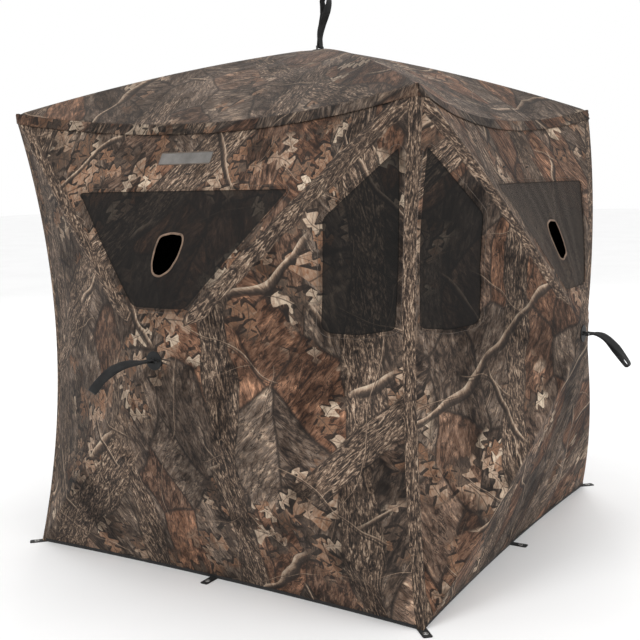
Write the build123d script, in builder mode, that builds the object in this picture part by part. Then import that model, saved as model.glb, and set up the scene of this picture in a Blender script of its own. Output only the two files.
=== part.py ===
"""Pop up ground blind: five hub-framed fabric faces on a square footprint.

Frame: millimetres, origin at the centre of the footprint on the ground, +Z up.
The front wall faces -Y and the right wall faces +X. Each face (four walls and
the roof) has its own local frame: x across, y up (or back, on the roof) and the
normal n outwards, with its origin at the centre of the flat square between the
four corners of that face.
"""
import os
from math import atan2, degrees, sqrt

from build123d import *

# ---- driving dimensions ----------------------------------------------------
HALF = 700.0            # half the footprint, and half the corner height
HUB_RISE = 212.0        # how far a popped-out hub would stand proud of its face
POLE_BOW = 20.0         # extra bow of the fabric along a pole
EDGE_PULL = 60.0        # how far tension pulls the middle of a seam inwards
HEM_PULL = 21.0         # the same at the middle of the ground edge
SEAM_INSET = 7.0        # fabric stops this far from the shared seam line

SKIN_T = 2.0            # fabric panels
MESH_T = 1.0            # window mesh, lapped behind the edge of its opening
LAP = 10.0

HEM_H = 30.0            # ground hem, a ring of folded webbing
HEM_T = 3.0
HEM_GAP = 2.0           # gap between hem and wall fabric

PLATEAU = 50.0          # half side of the flat fabric square at a hub
PLATEAU_N = 203.0
HUB_HOLE_R = 6.0        # hole in the fabric for the hub bolt

CORE_R = 46.0           # moulded hub core inside the fabric
CORE_T = 24.0
CORE_TOP = PLATEAU_N - SKIN_T - 0.5
SLOT_W = 10.4
SLOT_IN = 24.0          # inner end of a pole slot, from the hub axis
PIN_R = 3.0             # trunnions on the pole ends
PIN_L = 30.0
LID_T = 9.0             # upper part of the core, which keeps the trunnions in their seats
BOLT_R = 4.0            # and half the side of the bolt's square neck
FIT = 0.02              # clearance round the bolt

WASHER_R = 26.0         # plate outside the fabric
WASHER_T = 3.0
WASHER_LOW = PLATEAU_N + 0.3
WASHER_TOP = WASHER_LOW + WASHER_T
NUT_R, NUT_T = 7.0, 3.0
HEAD_R, HEAD_T = 8.0, 5.0

BAR_R = 2.5             # staple bar that holds the pull strap
BAR_N = WASHER_TOP + 10.0
BAR_HALF = 17.0
LEG = 4.0
STAPLE_TOP = BAR_N + BAR_R

ROD_R = 4.75            # fibreglass pole, points are (distance from hub axis, n)
POLE_PIVOT = (34.0, CORE_TOP - CORE_T / 2)
POLE_MIDDLE = (482.0, 112.0)
POLE_TIP = (930.0, -12.0)
EYE_R, EYE_W = 7.0, 9.6
WEB_H = 11.0
RUNNING_FIT = 0.05      # radial clearance of trunnions and strap eyes
BARREL_R = 6.5
BARREL = (16.0, 46.0)   # start and end along the pole, from the pivot
END_GAP = 0.3           # glue line between the rod and its end fittings
CAP_R = 5.5
CAP_BACK = 18.0

TIP_SLACK = 22.0        # the tip slides outwards by this much in its pocket
CHEEK_T = 3.0
POCKET_HALF = 7.5       # half width of a pocket
CHEEK_RHO = (912.0, 968.0)
CHEEK_N = (-21.0, -5.0)
POCKET_FLOOR = POLE_TIP[0] + TIP_SLACK + CAP_R + 1.0
BLOCK = (678.0, 694.0)  # corner block, along each axis from the centre

WINDOW_TOP = (372.0, 456.0)                # shoot-through window: half width, height
WINDOW_LOW = (92.0, 138.0)
PORT_POS = (-9.0, 282.0)                   # oval port through the window mesh
PORT_RX, PORT_RY = 43.0, 61.0
CORNER_WINDOW = [(648, 556), (462, 378), (442, 98), (458, 80), (530, 72), (612, 84)]

ROLL_R, ROLL_HALF = 15.0, 310.0            # rolled window cover
ROLL_POS = (490.0, 14.0)                   # height on the face, n

DOOR_FREE = (235.0, 150.0)                 # free side: across, half height
DOOR_HUNG = (606.0, 515.0)                 # hinge side
ZIP_LINE = (3.0, 11.0)                     # zip track, inwards from the opening
DOOR_INSET = 14.0
ZIP_END = 560.0                            # the track stops short of the hinge side
SLIDER_W, SLIDER_L, SLIDER_T = 14.0, 26.0, 6.0
SLIDER_DROP = 118.0                        # parked this far below the middle

PATCH_POS = (-28.0, 545.0)                 # blank sewn patch
PATCH_W, PATCH_H = 190.0, 38.0

STRAP_W, STRAP_T = 24.0, 3.0               # pull straps, points are (n, y) from the bar
STRAP_EYE_R = 4.6
WALL_STRAP = [(42, 2), (70, -8), (100, -34), (130, -68), (150, -92), (147, -104),
              (136, -100), (112, -74), (84, -48), (58, -16)]
ROOF_STRAP = [(46, 4), (70, 34), (95, 54), (120, 58), (150, 53), (176, 50),
              (184, 42), (178, 34), (155, 24), (120, 14), (80, 8)]

TAB_W, TAB_T, TAB_HOLE_R = 26.0, 2.5, 5.0   # stake tabs on the ground
TAB_OUT, TAB_HOLE_OUT = 44.0, 22.0          # at the corners: length, and how far out the hole is
SIDE_TAB_OUT, SIDE_HOLE_OUT = 54.0, 32.0    # at the middle of each side

# ---- the five faces --------------------------------------------------------
FACES = {
    "front": Plane(origin=(0, -HALF, HALF), x_dir=(1, 0, 0), z_dir=(0, -1, 0)),
    "right": Plane(origin=(HALF, 0, HALF), x_dir=(0, 1, 0), z_dir=(1, 0, 0)),
    "back": Plane(origin=(0, HALF, HALF), x_dir=(-1, 0, 0), z_dir=(0, 1, 0)),
    "left": Plane(origin=(-HALF, 0, HALF), x_dir=(0, -1, 0), z_dir=(-1, 0, 0)),
    "roof": Plane(origin=(0, 0, 2 * HALF), x_dir=(1, 0, 0), z_dir=(0, 0, 1)),
}
WALLS = ["front", "right", "back", "left"]
# the roof's strap bar lies along Y, the walls' bars lie level
HUB_FRAMES = dict(FACES, roof=Plane(origin=(0, 0, 2 * HALF), x_dir=(0, -1, 0), z_dir=(0, 0, 1)))
QUARTERS = {"top_right": (1, 1), "top_left": (-1, 1), "low_left": (-1, -1), "low_right": (1, -1)}
ROOF_QUARTERS = {"back_right": (1, 1), "back_left": (-1, 1),
                 "front_left": (-1, -1), "front_right": (1, -1)}
CORNER_WINDOWS = {"front": 1, "right": -1, "left": 1}     # which side of the face

os.makedirs("parts", exist_ok=True)


def save(piece, name):
    """Label a finished piece and write it under its own name."""
    piece.part.label = name
    export_step(piece.part, f"parts/{name}.step")


# ---- fabric surface --------------------------------------------------------
def fabric_n(share):
    """Height of the fabric over a pole, at a share of the way to the corner."""
    return HUB_RISE * (1 - share) + 4 * POLE_BOW * share * (1 - share)


def facets(is_wall):
    """Flat polygons, in a face's own frame, that make up its fabric surface."""
    signs = list(QUARTERS.values())
    edge = HALF - SEAM_INSET
    edge_n = fabric_n(edge / HALF)
    pulled, pulled_n = edge - EDGE_PULL, edge_n - EDGE_PULL
    corners = [(sx * edge, sy * edge, edge_n) for sx, sy in signs]
    middles = [(sx * HALF / 2, sy * HALF / 2, fabric_n(0.5)) for sx, sy in signs]
    plateau = [(sx * PLATEAU, sy * PLATEAU, PLATEAU_N) for sx, sy in signs]
    seams = [(0, pulled, pulled_n), (-pulled, 0, pulled_n), (0, -pulled, pulled_n), (pulled, 0, pulled_n)]
    if is_wall:
        low = HEM_H + HEM_GAP - HALF
        corners[2:] = [(-edge, low, edge_n), (edge, low, edge_n)]
        seams[2] = (0, low, edge_n - HEM_PULL)
    result = [plateau]
    for i, seam in enumerate(seams):
        j = (i + 1) % 4
        result.append([middles[i], middles[j], plateau[j], plateau[i]])
        result.append([seam, middles[j], middles[i]])
        result.append([corners[i], seam, middles[i]])
        result.append([seam, corners[j], middles[j]])
    return result


def fabric(face_name, low, high):
    """Fill the space between two heights above the fabric surface of a face."""
    face = FACES[face_name]
    for polygon in facets(face_name != "roof"):
        points = [face.from_local_coords((x, y, n + low)) for x, y, n in polygon]
        extrude(Face(Wire.make_polygon(points, close=True)), amount=high - low, dir=face.z_dir)


def under(face_name, outline, mode, grow=0.0):
    """Cut or keep what lies under a polygon drawn on a face."""
    with BuildSketch(FACES[face_name].offset(-HALF)) as drawn:
        Polygon(*outline, align=None)
        if grow:
            offset(amount=grow, kind=Kind.INTERSECTION)
    extrude(drawn.sketch, amount=2 * HALF, mode=mode)


def rectangle(x, y, width, height):
    """Corners of a rectangle round a centre."""
    return [(x - width / 2, y - height / 2), (x + width / 2, y - height / 2),
            (x + width / 2, y + height / 2), (x - width / 2, y + height / 2)]


def corner_window(side):
    """Outline of the window beside the right (1) or left (-1) seam."""
    if side > 0:
        return CORNER_WINDOW
    return [(-x, y) for x, y in reversed(CORNER_WINDOW)]


WINDOW = [(-WINDOW_LOW[0], WINDOW_LOW[1]), WINDOW_LOW, WINDOW_TOP, (-WINDOW_TOP[0], WINDOW_TOP[1])]
DOOR_OPENING = [(DOOR_FREE[0], -DOOR_FREE[1]), (DOOR_HUNG[0], -DOOR_HUNG[1]),
                DOOR_HUNG, DOOR_FREE]

for name in FACES:
    with BuildPart() as skin:
        fabric(name, -SKIN_T, 0)
        with BuildSketch(FACES[name].offset(-HALF)):
            Circle(HUB_HOLE_R)
        extrude(amount=2 * HALF, mode=Mode.SUBTRACT)
        if name in WALLS:
            under(name, WINDOW, Mode.SUBTRACT)
        if name in CORNER_WINDOWS:
            under(name, corner_window(CORNER_WINDOWS[name]), Mode.SUBTRACT)
        if name == "back":
            under(name, DOOR_OPENING, Mode.SUBTRACT)
    save(skin, "roof_panel" if name == "roof" else f"{name}_wall")

# ---- window mesh -----------------------------------------------------------
for name in WALLS:
    with BuildPart() as window:
        fabric(name, -SKIN_T - MESH_T, -SKIN_T)
        under(name, WINDOW, Mode.INTERSECT, LAP)
        with BuildSketch(FACES[name].offset(-HALF)):
            with Locations(PORT_POS):
                Ellipse(PORT_RX, PORT_RY)
        extrude(amount=2 * HALF, mode=Mode.SUBTRACT)
    save(window, f"{name}_window_mesh")

for name, side in CORNER_WINDOWS.items():
    with BuildPart() as window:
        fabric(name, -SKIN_T - MESH_T, -SKIN_T)
        under(name, corner_window(side), Mode.INTERSECT, LAP)
    save(window, f"{name}_corner_mesh")

# ---- window covers, rolled up and tied over their windows --------------------
with BuildPart() as rolls:
    for name in WALLS:
        face = FACES[name]
        centre = face.from_local_coords((-ROLL_HALF, *ROLL_POS))
        with BuildSketch(Plane(origin=centre, x_dir=face.y_dir, z_dir=face.x_dir)):
            Circle(ROLL_R)
        extrude(amount=2 * ROLL_HALF)
save(rolls, "window_cover_rolls")

# ---- door, its zip and the blank patch -----------------------------------------
with BuildPart() as door:
    fabric("back", -SKIN_T, 0)
    under("back", DOOR_OPENING, Mode.INTERSECT, -DOOR_INSET)
save(door, "door")

with BuildPart() as zip_track:
    fabric("back", -SKIN_T, 0)
    under("back", DOOR_OPENING, Mode.INTERSECT, -ZIP_LINE[0])
    under("back", DOOR_OPENING, Mode.SUBTRACT, -ZIP_LINE[1])
    under("back", rectangle(ZIP_END + HALF, 0, 2 * HALF, 2 * HALF), Mode.SUBTRACT)
save(zip_track, "door_zip_track")

# the slider rides on the straight free side of the track, clear of its face
TRACK_X = DOOR_FREE[0] + (ZIP_LINE[0] + ZIP_LINE[1]) / 2
TRACK_SLOPE = (fabric_n(0.5) - PLATEAU_N) / (HALF / 2 - PLATEAU)
TRACK_N = PLATEAU_N + (TRACK_X - SLIDER_W / 2 - PLATEAU) * TRACK_SLOPE
with BuildPart() as slider:
    with BuildSketch(FACES["back"].offset(TRACK_N + 0.5)):
        with Locations((TRACK_X, -SLIDER_DROP)):
            RectangleRounded(SLIDER_W, SLIDER_L, SLIDER_W / 4)
    extrude(amount=SLIDER_T)
save(slider, "zip_slider")

with BuildPart() as patch:
    fabric("front", 0, MESH_T)
    under("front", rectangle(*PATCH_POS, PATCH_W, PATCH_H), Mode.INTERSECT)
save(patch, "blank_patch")

# ---- ground hem and stake tabs -------------------------------------------------
def ground_ring(inset):
    """Ground outline, with each side pulled in a little at its middle."""
    corner, middle = HALF - inset, HALF - HEM_PULL - inset
    return [(corner, -corner), (middle, 0), (corner, corner), (0, middle),
            (-corner, corner), (-middle, 0), (-corner, -corner), (0, -middle)]


with BuildPart() as hem:
    with BuildSketch():
        Polygon(*ground_ring(0), align=None)
        Polygon(*ground_ring(HEM_T), align=None, mode=Mode.SUBTRACT)
    extrude(amount=HEM_H)
save(hem, "ground_hem")

with BuildPart() as tabs:
    for turn in range(4):
        with BuildSketch(Plane.XY.rotated((0, 0, 90 * turn + 45))):
            tip = HALF * sqrt(2)
            back = tip - TAB_W / 2
            Polygon((tip, 0), (back, -TAB_W / 2), (tip + TAB_OUT, -TAB_W / 2),
                    (tip + TAB_OUT, TAB_W / 2), (back, TAB_W / 2), align=None)
            with Locations((tip + TAB_HOLE_OUT, 0)):
                Circle(TAB_HOLE_R, mode=Mode.SUBTRACT)
        extrude(amount=TAB_T)
        with BuildSketch(Plane.XY.rotated((0, 0, 90 * turn))):
            start = HALF - HEM_PULL + 0.5
            with Locations((start + SIDE_TAB_OUT / 2, 0)):
                Rectangle(SIDE_TAB_OUT, TAB_W)
            with Locations((start + SIDE_HOLE_OUT, 0)):
                Circle(TAB_HOLE_R, mode=Mode.SUBTRACT)
        extrude(amount=TAB_T)
save(tabs, "stake_tabs")


# ---- poles ----------------------------------------------------------------------
def pole_plane(face, signs):
    """Plane of one pole: x from the hub axis to the corner, y along the normal."""
    along = (face.x_dir * signs[0] + face.y_dir * signs[1]).normalized()
    return Plane(origin=face.origin, x_dir=along, z_dir=along.cross(face.z_dir))


def section(plane, curve, place):
    """Plane square to the pole's line at a place between 0 and 1 along it."""
    point, tangent = curve.position_at(place), curve.tangent_at(place)
    return Plane(origin=plane.from_local_coords(point), x_dir=plane.z_dir,
                 z_dir=plane.from_local_coords(tangent) - plane.origin)


def pole(plane):
    """Ferrule with its hinge trunnions, bowed rod and corner tip, as three solids."""
    line = ThreePointArc(POLE_PIVOT, POLE_MIDDLE, POLE_TIP, mode=Mode.PRIVATE)
    reach = line.length
    rod_start = (BARREL[1] + END_GAP) / reach
    rod_end = 1 - (CAP_BACK + END_GAP) / reach
    with BuildPart() as ferrule:
        with BuildSketch(plane):
            with Locations(POLE_PIVOT):
                Circle(EYE_R)
            tangent = line.tangent_at(0)
            with Locations(Location((*POLE_PIVOT, 0), (0, 0, degrees(atan2(tangent.Y, tangent.X))))):
                Rectangle(BARREL[0] + 1, WEB_H, align=(Align.MIN, Align.CENTER))
        extrude(amount=EYE_W / 2, both=True)
        middle = (BARREL[0] + BARREL[1]) / 2
        with BuildSketch(section(plane, line, middle / reach).offset(BARREL[0] - middle)):
            Circle(BARREL_R)
        extrude(amount=BARREL[1] - BARREL[0])
        with BuildSketch(plane):
            with Locations(POLE_PIVOT):
                Circle(PIN_R)
        extrude(amount=PIN_L / 2, both=True)
    with BuildPart() as rod:
        with BuildLine():
            ThreePointArc(*[plane.from_local_coords(line.position_at(place))
                            for place in (rod_start, 0.5, rod_end)])
        with BuildSketch(section(plane, line, rod_start)):
            Circle(ROD_R)
        sweep()
    with BuildPart() as cap:
        end = section(plane, line, 1)
        with BuildSketch(end.offset(-CAP_BACK)):
            Circle(CAP_R)
        extrude(amount=CAP_BACK)
        with Locations(end):
            Sphere(CAP_R)
    with BuildPart() as whole:
        add([ferrule.part, rod.part, cap.part])
    return whole


# ---- hubs -------------------------------------------------------------------------
def hub_core(face):
    """Moulded body and lid, slotted for the four pole ends, with seats for their trunnions."""
    seat = 2 * (PIN_R + RUNNING_FIT)
    with BuildPart() as core:
        with BuildSketch(face.offset(CORE_TOP - CORE_T)) as outline:
            Circle(CORE_R)
            Rectangle(2 * (BOLT_R + FIT), 2 * (BOLT_R + FIT), mode=Mode.SUBTRACT)
            with PolarLocations(SLOT_IN, 4, start_angle=45):
                Rectangle(CORE_R, SLOT_W, align=(Align.MIN, Align.CENTER), mode=Mode.SUBTRACT)
        extrude(amount=CORE_T - LID_T - FIT)
        with BuildSketch(face.offset(POLE_PIVOT[1] - PIN_R - RUNNING_FIT)):
            with PolarLocations(POLE_PIVOT[0], 4, start_angle=45):
                Rectangle(seat, PIN_L + 2 * RUNNING_FIT)
        extrude(amount=CORE_T, mode=Mode.SUBTRACT)
    with BuildPart() as lid:
        with BuildSketch(face.offset(CORE_TOP - LID_T)):
            add(outline.sketch_local)
        extrude(amount=LID_T)
    with BuildPart() as both:
        add([core.part, lid.part])
    return both


def hub_fasteners(face, frame):
    """The centre bolt with its square neck and nut, and the strap staple."""
    with BuildPart() as fasteners:
        low = CORE_TOP - CORE_T - HEAD_T
        with BuildSketch(face.offset(low)):
            Rectangle(2 * BOLT_R, 2 * BOLT_R)
        extrude(amount=CORE_TOP - low)
        for radius, start, height in ((HEAD_R, low, HEAD_T),
                                      (BOLT_R, low, WASHER_TOP - low),
                                      (NUT_R, WASHER_TOP, NUT_T)):
            with BuildSketch(face.offset(start)):
                Circle(radius)
            extrude(amount=height)
        with BuildSketch(frame.offset(WASHER_TOP)):
            with Locations((-BAR_HALF - LEG / 2, 0), (BAR_HALF + LEG / 2, 0)):
                Rectangle(LEG, 2 * BAR_R)
        extrude(amount=STAPLE_TOP - WASHER_TOP)
        bar_plane = Plane(origin=frame.from_local_coords((0, 0, BAR_N)),
                          x_dir=frame.z_dir, z_dir=frame.x_dir)
        with BuildSketch(bar_plane):
            Circle(BAR_R)
        extrude(amount=BAR_HALF, both=True)
    return fasteners


def hub_washer(face):
    """Round plate that clamps the fabric against the core."""
    with BuildPart() as washer:
        with BuildSketch(face.offset(WASHER_LOW)):
            Circle(WASHER_R)
            Circle(BOLT_R + FIT, mode=Mode.SUBTRACT)
        extrude(amount=WASHER_T)
        chamfer(washer.edges().filter_by(GeomType.CIRCLE).group_by(lambda e: e.radius)[-1], 0.8)
    return washer


# ---- pull straps --------------------------------------------------------------------
def shifted(points, distance, closed):
    """The line through the points moved sideways, with mitred corners."""
    result = []
    count = len(points)
    for i, point in enumerate(points):
        before = points[i - 1] if closed or i else point
        after = points[(i + 1) % count] if closed or i < count - 1 else point
        first = Vector(point[0] - before[0], point[1] - before[1])
        second = Vector(after[0] - point[0], after[1] - point[1])
        first = (first if first.length else second).normalized()
        second = (second if second.length else first).normalized()
        mitre = (first + second).normalized()
        side = Vector(-mitre.Y, mitre.X) * (distance / mitre.dot(first))
        result.append((point[0] + side.X, point[1] + side.Y))
    return result


def pull_strap(frame, loop):
    """Webbing sewn round the staple bar, doubled at first, with an open loop beyond."""
    bar = frame.from_local_coords((0, 0, BAR_N))
    profile = Plane(origin=bar, x_dir=frame.z_dir, z_dir=-frame.x_dir)
    tail = [(0, 0), loop[0]]
    with BuildPart() as strap:
        with BuildSketch(profile):
            Circle(STRAP_EYE_R)
            Polygon(*shifted(tail, -STRAP_T, False), *reversed(shifted(tail, STRAP_T, False)), align=None)
            wide, narrow = shifted(loop, STRAP_T / 2, True), shifted(loop, -STRAP_T / 2, True)
            Polygon(*wide, align=None)
            Polygon(*narrow, align=None, mode=Mode.SUBTRACT)
            Circle(BAR_R + RUNNING_FIT, mode=Mode.SUBTRACT)
        extrude(amount=STRAP_W / 2, both=True)
    return strap


for name, face in FACES.items():
    quarters = ROOF_QUARTERS if name == "roof" else QUARTERS
    for quarter, signs in quarters.items():
        save(pole(pole_plane(face, signs)), f"{name}_pole_{quarter}")
    save(hub_core(face), f"{name}_hub_core")
    save(hub_washer(face), f"{name}_hub_washer")
    save(hub_fasteners(face, HUB_FRAMES[name]), f"{name}_hub_fasteners")
    save(pull_strap(HUB_FRAMES[name], ROOF_STRAP if name == "roof" else WALL_STRAP), f"{name}_pull_strap")


# ---- corner sockets -------------------------------------------------------------------
def pole_pocket(plane):
    """Two cheeks and a floor round the tip of one pole."""
    depth = CHEEK_N[1] - CHEEK_N[0]
    for reach, half_width, mode in ((CHEEK_RHO[1], POCKET_HALF + CHEEK_T, Mode.ADD),
                                    (POCKET_FLOOR, POCKET_HALF, Mode.SUBTRACT)):
        with BuildSketch(plane) as side:
            with Locations((CHEEK_RHO[0], CHEEK_N[0])):
                Rectangle(reach - CHEEK_RHO[0], depth, align=(Align.MIN, Align.MIN))
        extrude(side.sketch, amount=half_width, both=True, mode=mode)


def socket(sx, sy, sz):
    """Corner moulding that the poles of two walls, and of the roof at the top, push into."""
    middle, size = (BLOCK[0] + BLOCK[1]) / 2, BLOCK[1] - BLOCK[0]
    corner = Vector(sx, sy, sz) * HALF + Vector(0, 0, HALF)
    with BuildPart() as moulding:
        for face in FACES.values():
            local = face.to_local_coords(corner)
            if abs(local.Z) < 1:
                pole_pocket(pole_plane(face, (local.X / HALF, local.Y / HALF)))
        with Locations((sx * middle, sy * middle, HALF + sz * middle)):
            Box(size, size, size)
    return moulding


with BuildPart() as sockets:
    for sx, sy in QUARTERS.values():
        for sz in (1, -1):
            add(socket(sx, sy, sz).part)
save(sockets, "corner_sockets")
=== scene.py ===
from math import cos, hypot, pi, radians, sin, sqrt

import bpy
import numpy as np
from mathutils import Matrix, Vector, geometry, noise


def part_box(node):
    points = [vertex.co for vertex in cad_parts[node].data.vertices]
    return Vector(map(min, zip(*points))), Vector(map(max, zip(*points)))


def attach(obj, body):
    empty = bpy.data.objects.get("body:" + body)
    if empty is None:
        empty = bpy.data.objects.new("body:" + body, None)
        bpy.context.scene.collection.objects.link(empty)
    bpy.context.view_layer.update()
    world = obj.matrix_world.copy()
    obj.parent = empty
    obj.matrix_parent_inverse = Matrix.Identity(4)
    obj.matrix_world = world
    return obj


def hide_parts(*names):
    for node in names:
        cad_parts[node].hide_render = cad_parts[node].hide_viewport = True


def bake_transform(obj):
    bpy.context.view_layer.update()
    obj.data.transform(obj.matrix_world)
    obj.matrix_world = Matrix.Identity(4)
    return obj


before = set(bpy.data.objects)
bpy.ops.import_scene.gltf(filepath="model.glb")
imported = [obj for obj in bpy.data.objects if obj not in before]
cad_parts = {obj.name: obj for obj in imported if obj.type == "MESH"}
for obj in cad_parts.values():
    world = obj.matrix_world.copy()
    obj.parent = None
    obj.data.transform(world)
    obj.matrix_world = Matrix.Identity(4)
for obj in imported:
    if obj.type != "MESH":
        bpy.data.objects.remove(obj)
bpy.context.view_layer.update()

# ---- sizes taken from the frame, in metres
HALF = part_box("ground_hem")[1][0]  # half the footprint and half the corner height
WASHER_LOW = -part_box("front_hub_washer")[1][1] - HALF

# ---- the fabric surface, on the curve that the poles pull it to
RISE = 0.212  # how far a hub stands out from its flat face
POLE_BOW = 0.020  # bow of a pole at its middle
EDGE_PULL, HEM_PULL = 0.060, 0.021  # how far tension pulls the edges in, and the ground edge
PULL_FADE = 1.6  # how fast that pull fades towards the hub
PLATEAU_N = WASHER_LOW - 0.0005  # the cloth lies flat under the washer
GRID = 0.0125  # spacing of the cloth's mesh points
CLOTH_T = 0.0008
FOLD, FAN_FOLD, LOOSE_FOLD = 0.0045, 0.0035, 0.006  # depth of the folds in the cloth

WINDOW_TOP = (0.372, 0.456)  # shoot-through window: half width, height
WINDOW_LOW = (0.092, 0.138)
PORT = (-0.009, 0.282)
# the port's outline round PORT: wide at the top, leaning towards -X at the foot
PORT_POINTS = [(-0.010, -0.058), (0.022, -0.042), (0.040, -0.006), (0.048, 0.034), (0.042, 0.052),
               (0.005, 0.056), (-0.034, 0.048), (-0.043, 0.014), (-0.044, -0.024), (-0.034, -0.051)]
RIDGE_HIGHLIGHT_HALF, RIDGE_HIGHLIGHT_RAGGED = 0.026, 0.022  # half width of the pale band painted along the pole ridges as a painted highlight, and its unevenness
CORNER_WINDOW = [(0.648, 0.556), (0.462, 0.378), (0.442, 0.098), (0.458, 0.080), (0.530, 0.072),
                 (0.612, 0.084)]
CORNER_WINDOWS = {"front": 1, "right": -1, "left": 1}  # the side of each wall that has one
DOOR = [(0.235, -0.150), (0.606, -0.515), (0.606, 0.515), (0.235, 0.150)]
WALLS = ["front", "right", "back", "left"]


class Face:
    """One face: its frame, and the curved cloth surface over its four poles."""

    def __init__(self, name, origin, across, up, out):
        self.name = name
        self.origin, self.across, self.up, self.out = map(Vector, (origin, across, up, out))
        self.is_wall = name != "roof"
        self.hub = f"{name}_hub"

    @staticmethod
    def edgewise(u, v, r):
        """Whether the nearest edge is a side one, and the place along that edge, -1 to 1."""
        beside = np.abs(u) >= np.abs(v)
        return beside, np.where(beside, v, u) / np.maximum(r, 1e-6)

    def pull(self, u, v):
        """Distance from the middle, and how far tension pulls a point in, in depth and in plane."""
        u, v = np.asarray(u, float), np.asarray(v, float)
        r = np.maximum(np.abs(u), np.abs(v))
        beside, along = self.edgewise(u, v, r)
        amount = (1 - along ** 2) * r ** PULL_FADE
        deep = flat = EDGE_PULL * amount
        if self.is_wall:
            ground = ~beside & (v < 0)
            deep = np.where(ground, HEM_PULL * amount, deep)
            flat = np.where(ground, 0, flat)
        return r, beside, deep, flat

    def plane_point(self, u, v):
        """In-plane position of a point of the untensioned square, u and v from -1 to 1."""
        _, beside, _, flat = self.pull(u, v)
        x = u * HALF - np.where(beside, np.sign(u) * flat, 0)
        y = v * HALF - np.where(beside, 0, np.sign(v) * flat)
        return x, y

    def square_point(self, x, y):
        """The inverse of plane_point, by repeated correction."""
        u, v = x / HALF, y / HALF
        for _ in range(12):
            px, py = self.plane_point(u, v)
            u, v = np.clip(u + (x - px) / HALF, -1, 1), np.clip(v + (y - py) / HALF, -1, 1)
        return u, v

    def height(self, x, y, wrinkled=True):
        """Distance of the cloth from the flat face at in-plane points."""
        x, y = np.broadcast_arrays(np.asarray(x, float), np.asarray(y, float))
        shape = x.shape
        u, v = self.square_point(x.ravel(), y.ravel())
        r, _, deep, _ = self.pull(u, v)
        n = RISE * (1 - r) + 4 * POLE_BOW * r * (1 - r)
        n = np.minimum(n, PLATEAU_N) - deep
        if wrinkled:
            n = n + self.wrinkles(u, v, r)
        return n.reshape(shape)

    def wrinkles(self, u, v, r):
        """Shallow tension folds between the poles, and looser ones near the ground."""
        seed = 7.3 * "front right back left roof".split().index(self.name)
        beside, along = self.edgewise(u, v, r)
        calm = np.clip(1 - along ** 2, 0, 1) * np.clip((r - 0.08) / 0.2, 0, 1)
        calm *= np.clip((1 - r) / 0.05, 0, 1)
        folds = np.array([noise.noise(Vector((1.7 * a + seed, 7.5 * b, seed))) for a, b in zip(along, r)])
        fan = np.array([noise.noise(Vector((9.0 * a, 1.3 * b + seed, 3.1))) for a, b in zip(along, r)])
        loose = np.where(~beside & (v < 0), np.clip((r - 0.55) / 0.4, 0, 1), 0) if self.is_wall else 0
        return calm * (FOLD * folds + FAN_FOLD * fan + LOOSE_FOLD * loose * fan)

    def world(self, x, y, n):
        """Points of the face in the row frame."""
        x, y, n = np.broadcast_arrays(x, y, n)
        return (np.array(self.origin) + x[..., None] * np.array(self.across)
                + y[..., None] * np.array(self.up) + n[..., None] * np.array(self.out))

    def share(self, x, y):
        """How far along the way from the hub to the corners, 0 to 1."""
        u, v = self.square_point(np.asarray(x, float), np.asarray(y, float))
        return np.maximum(np.abs(u), np.abs(v))


FACES = {
    "front": Face("front", (0, -HALF, HALF), (1, 0, 0), (0, 0, 1), (0, -1, 0)),
    "right": Face("right", (HALF, 0, HALF), (0, 1, 0), (0, 0, 1), (1, 0, 0)),
    "back": Face("back", (0, HALF, HALF), (-1, 0, 0), (0, 0, 1), (0, 1, 0)),
    "left": Face("left", (-HALF, 0, HALF), (0, -1, 0), (0, 0, 1), (-1, 0, 0)),
    "roof": Face("roof", (0, 0, 2 * HALF), (1, 0, 0), (0, 1, 0), (0, 0, 1)),
}
# where each face's cloth was cut from the printed roll, so that no two faces match
PRINT_OFFSET = {"front": (0.0, 0.0), "right": (3.1, 0.4), "back": (7.7, 1.9), "left": (12.3, 3.2),
                "roof": (17.9, 5.3)}


# ---- camera and light
def placed(name, data):
    """A new object in the scene."""
    made = bpy.data.objects.new(name, data)
    bpy.context.collection.objects.link(made)
    return made


def look_from(azimuth, elevation, distance, target, lens, roll):
    """A camera that looks at target, placed by azimuth (0 looks along +Y), elevation and roll."""
    a, e = radians(azimuth), radians(elevation)
    back = Vector((sin(a) * cos(e), -cos(a) * cos(e), sin(e)))
    right = Vector((cos(a), sin(a), 0))
    up = back.cross(right)
    turned = right * cos(radians(roll)) + up * sin(radians(roll))
    data = bpy.data.cameras.new("camera")
    data.lens, data.sensor_width = lens, 36
    data.clip_end = 100
    camera = placed("camera", data)
    axes = Matrix((turned, back.cross(turned), back)).transposed()
    camera.matrix_world = Matrix.Translation(Vector(target) + back * distance) @ axes.to_4x4()
    bpy.context.scene.camera = camera


look_from(31.585, 8.051, 3.623, (-0.100, 0.123, 0.670), 55.97, -1.318)


def area_light(name, place, size, power, aim=(0, 0, 0.8)):
    """A soft square light."""
    data = bpy.data.lights.new(name, "AREA")
    data.size, data.energy = size, power
    lamp = placed(name, data)
    lamp.location = place
    lamp.rotation_euler = (Vector(aim) - Vector(place)).to_track_quat("-Z", "Y").to_euler()


area_light("key", (-1.2, -5.5, 4.0), 3.0, 95)
area_light("side", (5.5, -2.0, 3.2), 3.0, 95)
area_light("top", (0.5, 1.0, 5.5), 3.0, 12)
area_light("rear", (-3.0, 5.0, 3.5), 3.0, 90)

world = bpy.data.worlds.new("world")
bpy.context.scene.world = world
world.use_nodes = True
background = world.node_tree.nodes["Background"]
background.inputs["Color"].default_value = (1, 1, 1, 1)
background.inputs["Strength"].default_value = 1.0
bpy.context.scene.view_settings.view_transform = "Standard"


# ---- shader helpers
def new_node(kind, *near):
    """A new node in the tree of the first field or socket in near."""
    for value in near:
        if isinstance(value, Field):
            value = value.socket
        if isinstance(value, bpy.types.NodeSocket):
            return value.id_data.nodes.new(kind)


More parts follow.
